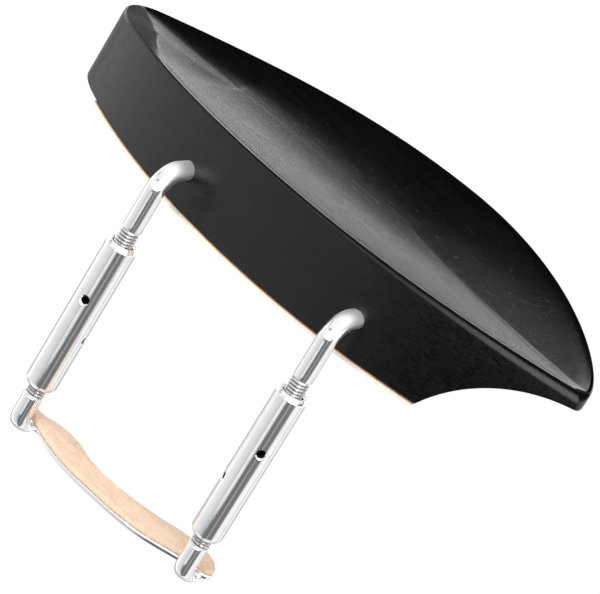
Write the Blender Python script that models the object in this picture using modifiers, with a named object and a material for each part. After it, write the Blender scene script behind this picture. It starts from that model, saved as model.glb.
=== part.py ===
"""A side-mounted violin chin rest: a carved plate on a cork foot, with a two-barrel screw clamp.

Metres, +Z up.  +X runs along the wall that the clamp hooks enter, +Y runs from the clamp over
the instrument's top.  The origin is on the flat underside of the foot cork.
"""

import math

import bmesh
import bpy
from mathutils import Matrix, Vector
from mathutils.geometry import interpolate_bezier

MM = 0.001

# Clearances
GAP = 0.3 * MM  # between pieces that turn, slide or screw into each other
GLUE_GAP = 0.2 * MM  # between flat glued or soldered faces

# Cork linings
FOOT_CORK_T = 0.8 * MM
FOOT_CORK_SHORT = 2.5 * MM  # how far the foot's cork stops short of the wall's left end
CLAMP_CORK_T = 1.1 * MM

# Plan of the plate: the wall is one arc, the rim behind it is drawn through a few anchors
WALL_R = 110.4 * MM
WALL_BULGE = Vector((4.1 * MM, -7.8 * MM))  # the point of the wall nearest the clamp
WALL_LEFT_X = -56.5 * MM
WALL_RIGHT_X = 62.2 * MM
PLATE_DEPTH = 60.6 * MM
TIP_THICK = Vector((-0.3 * MM, 5.05 * MM))  # from the wall's right end to the tip's back
TIP_LEAN = Vector((-0.36, 0.93))
TIP_REACH = 12.0 * MM
TIP_TURN_REACH = 1.6 * MM
RIM_TOP_X = 6.0 * MM  # the rim is furthest back here
RIM_RIGHT_REACH = 28.0 * MM
RIM_LEFT_REACH = 26.0 * MM
LEFT_THICK = Vector((-3.5 * MM, 16.7 * MM))  # from the wall's left end to the back of its turn
LEFT_LEAN = Vector((0.83, 0.56))
LEFT_REACH = 26.0 * MM
LEFT_TURN_BACK = 9.0 * MM
LEFT_TURN_WALL = 7.2 * MM

# Heights of the plate
FOOT_BASE = FOOT_CORK_T + GLUE_GAP
RIM_H = 19.1 * MM  # rim over the foot's underside, at the crown
CROWN_X = 14.0 * MM
CROWN_FALL_LEFT = 3.4 * MM  # how far the rim has dropped CROWN_SPAN_LEFT away
CROWN_SPAN_LEFT = 76.0 * MM
CROWN_FALL_RIGHT = 1.1 * MM
CROWN_SPAN_RIGHT = 50.0 * MM

# The chin dish and the plate's thickness
LIP_W = 1.8 * MM
LIP_SWELL = 5.0 * MM  # how much wider the lip is at the left end
LIP_SWELL_IN = 10.5 * MM  # from the wall's left end to where the lip starts to widen
DISH_DEPTH = 4.5 * MM
DISH_POWER = 1.9  # 2 is a parabola: steep under the lip, flat along the deepest line
SPINE_IN = Vector((20.5 * MM, 32.8 * MM))  # the dish's deepest line, from the plate's left front
SPINE_RIGHT = Vector((2.0 * MM, 34.8 * MM))  # and its right end, from the rim's furthest point
RIM_T = 3.5 * MM
FLOOR_T = 4.5 * MM

# The foot and the scoop under the tip
FOOT_W = 15.5 * MM
SCOOP_R = 29.4 * MM
SCOOP_PAST = Vector((0.8 * MM, 0.6 * MM))  # from the wall's right end to the scoop's axis in plan
SCOOP_ANGLE = math.radians(24.0)  # of its axis from +Y, square to the wall at the foot's end
SCOOP_DROP = 14.4 * MM  # its axis lies this far under the foot's underside

# Clamp rods
ROD_D = 4.0 * MM
ROD_SPACING = 45.4 * MM
ROD_STANDOFF = 4.06 * MM  # from the wall's bulge to the rods' axes
HOOK_H = 6.7 * MM  # hook legs over the foot's underside
HOOK_BEND_R = 4.5 * MM
HOOK_LEG_IN = 10.5 * MM  # how deep the legs stand in the wall
SOCKET_SPARE = 1.5 * MM  # room behind a leg's end

# Barrels
BARREL_D = 6.5 * MM
BARREL_L = 34.0 * MM
BARREL_CHAMFER = 0.8 * MM
CHAMFER_SHARE = 0.85  # the most of a barrel's wall that its chamfer may take
BARREL_DROP = 8.5 * MM  # from the cork's underside to the barrel tops
THREAD_IN = 10.5 * MM  # length of each rod inside its barrel
TOMMY_D = 1.7 * MM
TOMMY_OFFSET = 4.1 * MM  # of each tommy hole from mid length
TOMMY_TURN_LEFT = -78.0
TOMMY_TURN_RIGHT = -49.0

# Lower studs, clamp plate
STUD_OUT = 7.3 * MM  # from a barrel's lower end to the flattened foot's bend
STUD_BEND_R = 2.6 * MM
TONGUE_T = 1.6 * MM
TONGUE_W = 4.4 * MM
TONGUE_L = 2.4 * MM
PLATE_T = 1.0 * MM
PLATE_NEAR = 3.1 * MM  # how far the plate bulges in front of the rods' axes
PLATE_W = 6.86 * MM
PLATE_WAIST = Vector((11.7 * MM, 1.0 * MM))  # from a rod and the near edge, towards the middle
PLATE_MID_X = 1.5 * MM
# The plate's far edge round each rod, in mm from the rod's axis and from the middle's far edge
LOBE_RIGHT = ((3.5, 0.1), (2.1, 3.0), (-1.0, 4.6), (-6.0, 4.5), (-12.5, 2.1))
LOBE_LEFT = ((16.2, 0.3), (10.7, 2.4), (6.1, 2.7), (2.2, 1.4), (-1.8, 0.1))

# Mesh resolution
ARC_STEPS = 28
RIM_STEPS = 20
TURN_STEPS = 14
TIP_STEPS = 8
DISH_SHARES = (0.16, 0.32, 0.48, 0.64, 0.8, 0.93)
ROUND_STEPS = 32
BEND_STEPS = 8
LOBE_STEPS = 6
SECTION_SIDES = 20
ROD_RESOLUTION = 8  # a bevel_resolution that gives SECTION_SIDES sides
SOCKET_SIDES = 20
TOMMY_SIDES = 12
SCOOP_SIDES = 96
WELD = 0.001 * MM
SEAM_WELD = 0.01 * MM  # where a turned profile meets itself
SMOOTH_UNDER = 35.0  # degrees: a sharper edge is shaded as an edge

# Cutters
CUTTER_PAST = 3 * MM  # how far a cutter runs past a flat face
DISH_PAST = 4 * MM  # how far the dish and the hollow run past the plate's outline
BAND_PAST = 20 * MM  # how far the foot's band runs past the plate
BAND_REACH = math.radians(60)  # how far it reaches round the wall's arc, either way
SCOOP_L = 160 * MM

# Places worked out from the sizes above
WALL_CENTRE = WALL_BULGE + Vector((0.0, WALL_R))
RIM_TOP = Vector((RIM_TOP_X, WALL_BULGE.y + PLATE_DEPTH))
LIP_SWELL_X = WALL_LEFT_X + LIP_SWELL_IN
SPINE_START = Vector((WALL_LEFT_X, WALL_BULGE.y)) + SPINE_IN
SPINE_END = Vector((RIM_TOP_X, WALL_BULGE.y)) + SPINE_RIGHT
FOOT_CORK_ANGLE = math.asin((WALL_LEFT_X + FOOT_CORK_SHORT - WALL_CENTRE.x) / WALL_R)
ROD_X = ROD_SPACING / 2
ROD_Y = WALL_BULGE.y - ROD_STANDOFF
HOOK_Z = FOOT_BASE + HOOK_H
RIM_Z = FOOT_BASE + RIM_H
FLOOR_Z = RIM_Z - DISH_DEPTH
BARREL_TOP = -BARREL_DROP
BARREL_MID = BARREL_TOP - BARREL_L / 2
BARREL_END = BARREL_TOP - BARREL_L
BORE_R = ROD_D / 2 + GAP
STUD_BEND_Z = BARREL_END - STUD_OUT
TONGUE_Z = STUD_BEND_Z - STUD_BEND_R
PLATE_Z = TONGUE_Z + TONGUE_T / 2 + GLUE_GAP
CLAMP_CORK_Z = PLATE_Z + PLATE_T + GLUE_GAP


def clear_scene():
    for obj in list(bpy.data.objects):
        bpy.data.objects.remove(obj, do_unlink=True)


def collection(name):
    made = bpy.data.collections.new(name)
    bpy.context.scene.collection.children.link(made)
    return made


def material(name, colour, roughness, metallic):
    made = bpy.data.materials.new(name)
    made.use_nodes = True
    shader = made.node_tree.nodes["Principled BSDF"]
    shader.inputs["Base Color"].default_value = (*colour, 1.0)
    shader.inputs["Roughness"].default_value = roughness
    shader.inputs["Metallic"].default_value = metallic
    made.diffuse_color = (*colour, 1.0)
    return made


def finish(obj, finish_material):
    """Gives an object its material and its smooth shading."""
    obj.data.materials.clear()
    obj.data.materials.append(finish_material)
    obj.data.shade_smooth()
    obj.data.set_sharp_from_angle(angle=math.radians(SMOOTH_UNDER))
    return obj


def as_cutter(obj):
    obj.hide_render = True
    obj.display_type = "WIRE"
    return obj


def mesh_object(name, bm, group):
    bmesh.ops.recalc_face_normals(bm, faces=bm.faces)
    data = bpy.data.meshes.new(name)
    bm.to_mesh(data)
    bm.free()
    obj = bpy.data.objects.new(name, data)
    group.objects.link(obj)
    return obj


def mesh_from_curve(curve_obj, group):
    """Replaces a curve object with a welded mesh object of the same name and place."""
    name = curve_obj.name
    bpy.context.view_layer.update()
    graph = bpy.context.evaluated_depsgraph_get()
    data = bpy.data.meshes.new_from_object(curve_obj.evaluated_get(graph))
    bm = bmesh.new()
    bm.from_mesh(data)
    bmesh.ops.remove_doubles(bm, verts=bm.verts, dist=WELD)
    bm.to_mesh(data)
    bm.free()
    place = curve_obj.matrix_world.copy()
    bpy.data.objects.remove(curve_obj, do_unlink=True)
    obj = bpy.data.objects.new(name, data)
    obj.matrix_world = place
    group.objects.link(obj)
    return obj


def poly_spline(curve, points):
    spline = curve.splines.new("POLY")
    spline.points.add(len(points) - 1)
    for slot, point in zip(spline.points, points):
        slot.co = (*point.to_3d(), 1.0)
    return spline


def slab(name, points, z_low, z_high, group):
    """A flat outline, from a 2D curve filled on both sides, between two heights."""
    curve = bpy.data.curves.new(name, "CURVE")
    curve.dimensions = "2D"
    curve.fill_mode = "BOTH"
    curve.extrude = (z_high - z_low) / 2
    poly_spline(curve, points).use_cyclic_u = True
    obj = bpy.data.objects.new(name, curve)
    obj.location.z = (z_low + z_high) / 2
    group.objects.link(obj)
    return mesh_from_curve(obj, group)


def loft(name, rings, group):
    """A closed solid through rings of equally many points, with a flat face on each end ring."""
    bm = bmesh.new()
    rows = [[bm.verts.new(point) for point in ring] for ring in rings]
    count = len(rows[0])
    for near, far in zip(rows, rows[1:]):
        for i in range(count):
            j = (i + 1) % count
            bm.faces.new((near[i], near[j], far[j], far[i]))
    bm.faces.new(rows[0])
    bm.faces.new(rows[-1])
    return mesh_object(name, bm, group)


def cylinder(name, radius, length, centre, direction, sides, group):
    bm = bmesh.new()
    bmesh.ops.create_cone(
        bm,
        cap_ends=True,
        segments=sides,
        radius1=radius,
        radius2=radius,
        depth=length,
    )
    turn = Vector(direction).to_track_quat("Z", "Y").to_matrix().to_4x4()
    bmesh.ops.transform(bm, matrix=Matrix.Translation(centre) @ turn, verts=bm.verts)
    return mesh_object(name, bm, group)


def boolean(obj, other, operation):
    modifier = obj.modifiers.new(f"{operation.lower()} {other.name}", "BOOLEAN")
    modifier.operation = operation
    modifier.object = other
    modifier.solver = "EXACT"


def wall_y(x):
    """The wall's place in plan, at this distance along it."""
    return WALL_CENTRE.y - math.sqrt(WALL_R**2 - (x - WALL_CENTRE.x) ** 2)


def on_wall(x):
    return Vector((x, wall_y(x)))


def wall_tangent(x):
    slope = (x - WALL_CENTRE.x) / math.sqrt(WALL_R**2 - (x - WALL_CENTRE.x) ** 2)
    return Vector((1.0, slope)).normalized()


def span(start, start_handle, end_handle, end, steps):
    """Points of one Bezier curve, without its last point."""
    points = interpolate_bezier(start, start_handle, end_handle, end, steps + 1)
    return [point.to_2d() for point in points[:-1]]


def plan_outline():
    """The plate's outline in plan, counter-clockwise from the wall's left end."""
    wall_start = on_wall(WALL_LEFT_X)
    wall_end = on_wall(WALL_RIGHT_X)
    tip_back = wall_end + TIP_THICK
    left_back = wall_start + LEFT_THICK
    width = WALL_RIGHT_X - WALL_LEFT_X
    wall_xs = [WALL_LEFT_X + width * i / ARC_STEPS for i in range(ARC_STEPS)]
    points = [on_wall(x) for x in wall_xs]
    points += span(
        wall_end,
        wall_end + TIP_TURN_REACH * wall_tangent(WALL_RIGHT_X),
        tip_back - TIP_TURN_REACH * TIP_LEAN,
        tip_back,
        TIP_STEPS,
    )
    points += span(
        tip_back,
        tip_back + TIP_REACH * TIP_LEAN,
        RIM_TOP + Vector((RIM_RIGHT_REACH, 0.0)),
        RIM_TOP,
        RIM_STEPS,
    )
    points += span(
        RIM_TOP,
        RIM_TOP - Vector((RIM_LEFT_REACH, 0.0)),
        left_back + LEFT_REACH * LEFT_LEAN,
        left_back,
        RIM_STEPS,
    )
    points += span(
        left_back,
        left_back - LEFT_TURN_BACK * LEFT_LEAN,
        wall_start - LEFT_TURN_WALL * wall_tangent(WALL_LEFT_X),
        wall_start,
        TURN_STEPS,
    )
    return points


def rim_z(x):
    """The rim's height: a shallow crown that falls to both ends."""
    if x < CROWN_X:
        return RIM_Z - CROWN_FALL_LEFT * ((CROWN_X - x) / CROWN_SPAN_LEFT) ** 2
    return RIM_Z - CROWN_FALL_RIGHT * ((x - CROWN_X) / CROWN_SPAN_RIGHT) ** 2


def on_spine(point):
    """The nearest point of the line along which the dish is deepest."""
    along = SPINE_END - SPINE_START
    share = (point - SPINE_START).dot(along) / along.length_squared
    return SPINE_START + along * min(max(share, 0.0), 1.0)


def lip_width(x):
    """The flat lip round the dish, which widens towards the left end."""
    reach = LIP_SWELL_X - (WALL_LEFT_X - LEFT_TURN_WALL)
    share = min(max((LIP_SWELL_X - x) / reach, 0.0), 1.0)
    return LIP_W + LIP_SWELL * share


def dish_ring(outline, inset_at, share, rim_drop, floor_z):
    """One ring of the dish, a share of the way from the lip (0) to the spine (1).

    The ring's height falls in a hollow curve from the rim, less rim_drop, to floor_z.
    """
    ring = []
    for point in outline:
        inward = on_spine(point) - point
        start = point + inward.normalized() * inset_at(point.x)
        place = start + (on_spine(point) - start) * share
        edge_z = rim_z(point.x) - rim_drop
        fall = 1 - (1 - share) ** DISH_POWER
        height = edge_z + (floor_z - edge_z) * fall
        ring.append(Vector((place.x, place.y, height)))
    return ring


def level(ring, height):
    return [Vector((point.x, point.y, height)) for point in ring]


def dish_solid(name, outline, inset_at, rim_drop, floor_z, end_z, group):
    """The space over the dish (end_z above it) or under the plate (end_z below it)."""
    outside = dish_ring(outline, lambda x: -DISH_PAST, 0.0, rim_drop, floor_z)
    rings = [level(outside, end_z), outside]
    rings.append(dish_ring(outline, lambda x: 0.0, 0.0, rim_drop, floor_z))
    shares = DISH_SHARES
    if inset_at is lip_width:
        shares = (0.0, *DISH_SHARES)
    rings += [dish_ring(outline, inset_at, s, rim_drop, floor_z) for s in shares]
    rings[-1] = level(rings[-1], floor_z)
    return as_cutter(loft(name, rings, group))


def foot_band(name, left, group):
    """Everything within the foot's width of the wall, from the angle left on its arc."""
    reach = BAND_REACH - left
    angles = [left + reach * i / ARC_STEPS for i in range(ARC_STEPS + 1)]
    outer = WALL_R + BAND_PAST
    inner = WALL_R - FOOT_W
    points = [WALL_CENTRE + outer * Vector((math.sin(a), -math.cos(a))) for a in angles]
    angles.reverse()
    points += [WALL_CENTRE + inner * Vector((math.sin(a), -math.cos(a))) for a in angles]
    return as_cutter(slab(name, points, -BAND_PAST, RIM_Z + BAND_PAST, group))


def scoop_cutter(group):
    place = on_wall(WALL_RIGHT_X) + SCOOP_PAST
    centre = Vector((place.x, place.y, FOOT_BASE - SCOOP_DROP))
    axis = (-math.sin(SCOOP_ANGLE), math.cos(SCOOP_ANGLE), 0.0)
    made = cylinder("scoop_cutter", SCOOP_R, SCOOP_L, centre, axis, SCOOP_SIDES, group)
    return as_cutter(made)


def socket_cutter(name, x, group):
    """The hole that a hook's leg slides in, from in front of the wall."""
    front = ROD_Y
    back = wall_y(x) + HOOK_LEG_IN + SOCKET_SPARE
    centre = Vector((x, (front + back) / 2, HOOK_Z))
    depth = back - front
    made = cylinder(name, BORE_R, depth, centre, (0, 1, 0), SOCKET_SIDES, group)
    return as_cutter(made)


def build_rest_plate(parts, cutters, ebony):
    outline = plan_outline()
    above = RIM_Z + CUTTER_PAST
    plate = slab("rest_plate", outline, FOOT_BASE, above, parts)
    sky = above + CUTTER_PAST
    dish = dish_solid("dish_cutter", outline, lip_width, 0.0, FLOOR_Z, sky, cutters)
    ceiling = FLOOR_Z - FLOOR_T
    hollow = dish_solid(
        "hollow_cutter", outline, lambda x: 0.0, RIM_T, ceiling, -CUTTER_PAST, cutters
    )
    band = foot_band("foot_band_cutter", -BAND_REACH, cutters)
    boolean(hollow, band, "DIFFERENCE")
    boolean(plate, dish, "DIFFERENCE")
    boolean(plate, hollow, "DIFFERENCE")
    scoop = scoop_cutter(cutters)
    boolean(plate, scoop, "DIFFERENCE")
    for side, x in (("left", -ROD_X), ("right", ROD_X)):
        boolean(plate, socket_cutter(f"socket_cutter_{side}", x, cutters), "DIFFERENCE")
    finish(plate, ebony)
    return scoop


def build_foot_cork(parts, cutters, scoop, cork):
    pad = slab("foot_cork", plan_outline(), 0.0, FOOT_CORK_T, parts)
    band = foot_band("foot_cork_band_cutter", FOOT_CORK_ANGLE, cutters)
    boolean(pad, band, "INTERSECT")
    boolean(pad, scoop, "DIFFERENCE")
    finish(pad, cork)


def flattened_rod(name, stations, parts):
    """A rod through stations of (centre, direction, half width along X, half height)."""
    rings = []
    for centre, direction, half_x, half_up in stations:
        across = Vector((1.0, 0.0, 0.0))
        up = direction.cross(across).normalized()
        turns = [2 * math.pi * i / SECTION_SIDES for i in range(SECTION_SIDES)]
        rings.append(
            [centre + across * half_x * math.cos(a) + up * half_up * math.sin(a) for a in turns]
        )
    return loft(name, rings, parts)


def build_hook(name, x, parts, chrome):
    """A round rod that stands in the wall and turns down into a barrel."""
    bend = Vector((x, ROD_Y + HOOK_BEND_R, HOOK_Z - HOOK_BEND_R))
    points = [Vector((x, wall_y(x) + HOOK_LEG_IN, HOOK_Z))]
    for i in range(BEND_STEPS + 1):
        angle = math.pi / 2 * i / BEND_STEPS
        points.append(bend + HOOK_BEND_R * Vector((0, -math.sin(angle), math.cos(angle))))
    points.append(Vector((x, ROD_Y, BARREL_TOP - THREAD_IN)))
    curve = bpy.data.curves.new(name, "CURVE")
    curve.dimensions = "3D"
    curve.bevel_depth = ROD_D / 2
    curve.bevel_resolution = ROD_RESOLUTION
    curve.use_fill_caps = True
    poly_spline(curve, points)
    rod = bpy.data.objects.new(name, curve)
    parts.objects.link(rod)
    finish(mesh_from_curve(rod, parts), chrome)


def build_stud(name, x, parts, chrome, travel_root):
    """A rod from a barrel down to a flattened foot under the clamp plate."""
    radius = ROD_D / 2
    top = Vector((x, ROD_Y, BARREL_END + THREAD_IN))
    down = Vector((0, 0, -1))
    stations = [(top, down, radius, radius)]
    bend = Vector((x, ROD_Y + STUD_BEND_R, STUD_BEND_Z))
    for i in range(BEND_STEPS + 1):
        share = i / BEND_STEPS
        angle = math.pi / 2 * share
        outward = Vector((0, -math.cos(angle), -math.sin(angle)))
        along = Vector((0, math.sin(angle), -math.cos(angle)))
        half_x = radius + (TONGUE_W / 2 - radius) * share
        half_up = radius + (TONGUE_T / 2 - radius) * share
        stations.append((bend + STUD_BEND_R * outward, along, half_x, half_up))
    tongue_end = Vector((x, bend.y + TONGUE_L, TONGUE_Z))
    stations.append((tongue_end, Vector((0, 1, 0)), TONGUE_W / 2, TONGUE_T / 2))
    stud = finish(flattened_rod(name, stations, parts), chrome)
    stud.parent = travel_root


def build_barrel(name, x, turn, parts, cutters, chrome, travel_root):
    """A threaded sleeve turned about its own axis, with two tommy-bar holes across it."""
    outer = BARREL_D / 2
    half = BARREL_L / 2
    chamfer = min(BARREL_CHAMFER, CHAMFER_SHARE * (outer - BORE_R))
    profile = (
        (BORE_R, half),
        (outer - chamfer, half),
        (outer, half - chamfer),
        (outer, chamfer - half),
        (outer - chamfer, -half),
        (BORE_R, -half),
    )
    bm = bmesh.new()
    corners = [bm.verts.new((radius, 0.0, z)) for radius, z in profile]
    for a, b in zip(corners, corners[1:] + corners[:1]):
        bm.edges.new((a, b))
    data = bpy.data.meshes.new(name)
    bm.to_mesh(data)
    bm.free()
    barrel = bpy.data.objects.new(name, data)
    barrel.location = (x, ROD_Y, BARREL_MID)
    parts.objects.link(barrel)
    screw = barrel.modifiers.new("turned", "SCREW")
    screw.angle = 2 * math.pi
    screw.steps = ROUND_STEPS
    screw.render_steps = ROUND_STEPS
    screw.use_merge_vertices = True
    screw.merge_threshold = SEAM_WELD
    for count, (height, swing) in enumerate(((TOMMY_OFFSET, 0.0), (-TOMMY_OFFSET, 90.0))):
        angle = math.radians(turn + swing)
        hole = cylinder(
            f"{name}_tommy_cutter_{count + 1}",
            TOMMY_D / 2,
            2 * BARREL_D,
            Vector((x, ROD_Y, BARREL_MID + height)),
            (math.cos(angle), math.sin(angle), 0.0),
            TOMMY_SIDES,
            cutters,
        )
        boolean(barrel, as_cutter(hole), "DIFFERENCE")
    finish(barrel, chrome)
    barrel.parent = travel_root


def clamp_outline():
    """The lower plate in plan: it follows the wall's curve and swells at both rods."""
    near = ROD_Y - PLATE_NEAR
    far = near + PLATE_W
    beside = ROD_Y + STUD_BEND_R + GAP
    waist_y = near + PLATE_WAIST.y
    points = [Vector((0.0, near)), Vector((ROD_X - PLATE_WAIST.x, waist_y))]
    points.append(Vector((ROD_X, beside)))
    points += [Vector((ROD_X + x * MM, far + y * MM)) for x, y in LOBE_RIGHT]
    points.append(Vector((PLATE_MID_X, far)))
    points += [Vector((-ROD_X + x * MM, far + y * MM)) for x, y in LOBE_LEFT]
    points.append(Vector((-ROD_X, beside)))
    points.append(Vector((PLATE_WAIST.x - ROD_X, waist_y)))
    return points


def clamp_layer(name, z_low, thickness, parts, finish_material, travel_root):
    curve = bpy.data.curves.new(name, "CURVE")
    curve.dimensions = "2D"
    curve.fill_mode = "BOTH"
    curve.extrude = thickness / 2
    curve.resolution_u = LOBE_STEPS
    outline = clamp_outline()
    spline = curve.splines.new("BEZIER")
    spline.bezier_points.add(len(outline) - 1)
    for knot, point in zip(spline.bezier_points, outline):
        knot.co = (point.x, point.y, 0.0)
        knot.handle_left_type = "AUTO"
        knot.handle_right_type = "AUTO"
    spline.use_cyclic_u = True
    obj = bpy.data.objects.new(name, curve)
    obj.location.z = z_low + thickness / 2
    parts.objects.link(obj)
    layer = finish(mesh_from_curve(obj, parts), finish_material)
    layer.parent = travel_root


def main():
    clear_scene()
    parts = collection("violin_chin_rest")
    cutters = collection("cutters")
    ebony = material("ebony", (0.018, 0.017, 0.017), 0.42, 0.0)
    cork = material("cork", (0.78, 0.56, 0.38), 0.9, 0.0)
    chrome = material("chrome", (0.82, 0.82, 0.84), 0.12, 1.0)
    scoop = build_rest_plate(parts, cutters, ebony)
    build_foot_cork(parts, cutters, scoop, cork)
    travel_root = bpy.data.objects.new("clamp_travel", None)
    parts.objects.link(travel_root)
    sides = (("left", -ROD_X, TOMMY_TURN_LEFT), ("right", ROD_X, TOMMY_TURN_RIGHT))
    for side, x, turn in sides:
        build_hook(f"hook_{side}", x, parts, chrome)
        build_barrel(f"barrel_{side}", x, turn, parts, cutters, chrome, travel_root)
        build_stud(f"stud_{side}", x, parts, chrome, travel_root)
    clamp_layer("clamp_plate", PLATE_Z, PLATE_T, parts, chrome, travel_root)
    clamp_layer("clamp_cork", CLAMP_CORK_Z, CLAMP_CORK_T, parts, cork, travel_root)


main()
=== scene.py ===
"""A side-mounted violin chin rest in a plain studio.

Metres, +Z up.  +X runs along the front wall, +Y runs from the screw clamp over the instrument's
top, and the origin is on the flat underside of the foot's cork.
"""

import logging
import math
from collections.abc import Callable, Iterable, Sequence
from dataclasses import dataclass
from enum import Enum

import bmesh
import bpy
from bmesh.types import BMesh, BMVert
from bpy.types import Material, Node, NodeSocket, NodeTree, Object
from mathutils import Matrix, Vector, noise
from mathutils.geometry import interpolate_bezier


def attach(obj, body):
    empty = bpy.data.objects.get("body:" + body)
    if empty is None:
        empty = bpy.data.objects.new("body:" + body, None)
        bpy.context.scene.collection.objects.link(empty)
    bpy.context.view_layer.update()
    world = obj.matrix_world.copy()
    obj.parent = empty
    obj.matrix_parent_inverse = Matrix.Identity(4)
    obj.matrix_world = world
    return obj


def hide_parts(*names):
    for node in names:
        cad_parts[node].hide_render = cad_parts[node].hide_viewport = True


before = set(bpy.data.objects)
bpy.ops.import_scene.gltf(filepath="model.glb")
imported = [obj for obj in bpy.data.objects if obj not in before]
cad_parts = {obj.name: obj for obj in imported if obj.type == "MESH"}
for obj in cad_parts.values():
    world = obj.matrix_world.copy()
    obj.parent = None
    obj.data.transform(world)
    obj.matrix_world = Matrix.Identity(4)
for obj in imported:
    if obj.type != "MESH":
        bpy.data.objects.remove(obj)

MM = 0.001
WEAR = "wear"
SATIN = "satin"
log = logging.getLogger("chin_rest")


# ---------------------------------------------------------------- shader expressions


def operator(operation: str, reflected: bool = False) -> Callable[..., "Value"]:
    """A Python operator that adds one Math node.

    Args:
        operation: The Math node's operation.
        reflected: Whether the value stands on the right, as in 1.0 - value.

    Returns:
        The operator's method.
    """

    def method(value: "Value", other: "Value | float") -> "Value":
        """Adds the node, and goes on with its output."""
        terms = (other, value) if reflected else (value, other)
        return value.graph.node("ShaderNodeMath", {"operation": operation}, dict(enumerate(terms)))

    return method


class Value:
    """One output of a shader node, which takes part in Python expressions."""

    __add__, __radd__ = operator("ADD"), operator("ADD", reflected=True)
    __sub__, __rsub__ = operator("SUBTRACT"), operator("SUBTRACT", reflected=True)
    __mul__, __rmul__ = operator("MULTIPLY"), operator("MULTIPLY", reflected=True)
    __truediv__, __rtruediv__ = operator("DIVIDE"), operator("DIVIDE", reflected=True)
    __pow__, __rpow__ = operator("POWER"), operator("POWER", reflected=True)

    def __init__(self, graph: "Graph", socket: NodeSocket) -> None:
        """Wraps a socket of the graph."""
        self.graph = graph
        self.socket = socket

    def step(self, low: float, high: float) -> "Value":
        """A smooth step from 0 at low to 1 at high."""
        settings = {"interpolation_type": "SMOOTHSTEP", "clamp": True}
        return self.graph.node("ShaderNodeMapRange", settings, {0: self, 1: low, 2: high})

    def feed(self, values: dict[str, "Value"]) -> None:
        """Links values to the sockets of this value's node."""
        for name, value in values.items():
            self.graph.tree.links.new(value.socket, self.socket.node.inputs[name])

    def output(self, name: int | str) -> "Value":
        """Another output of the same node."""
        return Value(self.graph, self.socket.node.outputs[name])


class Graph:
    """The node tree of one material or world."""

    def __init__(self, tree: NodeTree) -> None:
        """Empties the tree."""
        self.tree = tree
        tree.nodes.clear()

    def node(
        self,
        kind: str,
        settings: dict[str, object] | None = None,
        inputs: dict[int | str, object] | None = None,
        output: int | str = 0,
    ) -> Value:
        """Adds a node.

        Args:
            kind: The node's type.
            settings: The node's own settings; "stops" holds a ramp's (place, grey) pairs.
            inputs: Numbers, colours or other nodes' outputs for its sockets.
            output: Which output the expression goes on with.

        Returns:
            That output, or an empty one if the node has none.
        """
        made = self.tree.nodes.new(kind)
        for key, value in (settings or {}).items():
            if key == "stops":
                self._ramp(made, value)
            else:
                setattr(made, key, value)
        for key, value in (inputs or {}).items():
            if isinstance(value, Value):
                self.tree.links.new(value.socket, made.inputs[key])
            else:
                made.inputs[key].default_value = value
        return Value(self, made.outputs[output] if made.outputs else None)

    @staticmethod
    def _ramp(node: Node, stops: Sequence[tuple[float, float]]) -> None:
        """Sets a colour ramp's grey stops."""
        elements = node.color_ramp.elements
        for place, grey in stops[1:-1]:
            elements.new(place).color = (grey, grey, grey, 1.0)
        for element, (place, grey) in ((elements[0], stops[0]), (elements[-1], stops[-1])):
            element.position = place
            element.color = (grey, grey, grey, 1.0)

    def coords(self, scale: tuple[float, float, float]) -> Value:
        """Object coordinates, multiplied by a scale for each axis, in 1/m."""
        place = self.node("ShaderNodeTexCoord", output="Object")
        return self.node("ShaderNodeMapping", inputs={"Vector": place, "Scale": scale})

    def attribute(self, name: str) -> Value:
        """What the mesh's vertices say under this name."""
        return self.node("ShaderNodeAttribute", {"attribute_name": name}, output="Fac")

    def noise(
        self, coords: Value, scale: float = 1.0, detail: float = 2.0, rough: float = 0.5
    ) -> Value:
        """Fractal noise between 0 and 1.

        Args:
            coords: Where it is read.
            scale: How many blobs there are for each unit of coords.
            detail: The number of octaves.
            rough: How strong the fine octaves are.

        Returns:
            The noise's value.
        """
        inputs = {"Vector": coords, "Scale": scale, "Detail": detail, "Roughness": rough}
        return self.node("ShaderNodeTexNoise", inputs=inputs)

    def mix(
        self, share: Value, low: Sequence[float] | Value, high: Sequence[float] | Value
    ) -> Value:
        """A colour between two others.

        Args:
            share: 0 gives low and 1 gives high.
            low: The first colour.
            high: The second colour.

        Returns:
            The mixed colour.
        """
        settings = {"data_type": "RGBA", "blend_type": "MIX"}
        colours = [c if isinstance(c, Value) else (*c, 1.0) for c in (low, high)]
        inputs = {0: share, 6: colours[0], 7: colours[1]}
        return self.node("ShaderNodeMix", settings, inputs, output=2)

    def bump(self, height: Value, strength: float, distance: float) -> Value:
        """A normal from a height.

        Args:
            height: The height, where 1 is one distance up.
            strength: How much of the bump shows.
            distance: The bump's real height in metres.

        Returns:
            The bent normal.
        """
        inputs = {"Height": height, "Strength": strength, "Distance": distance}
        return self.node("ShaderNodeBump", inputs=inputs)


def principled(name: str, fixed: dict[str, object]) -> tuple[Material, Value]:
    """A material with one Principled shader.

    Args:
        name: The material's name.
        fixed: Values that are the same all over the surface.

    Returns:
        The material and the shader.
    """
    material = bpy.data.materials.new(name)
    material.use_nodes = True
    graph = Graph(material.node_tree)
    shader = graph.node("ShaderNodeBsdfPrincipled", inputs=fixed)
    graph.node("ShaderNodeOutputMaterial", inputs={"Surface": shader})
    return material, shader


# ---------------------------------------------------------------- finishes


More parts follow.
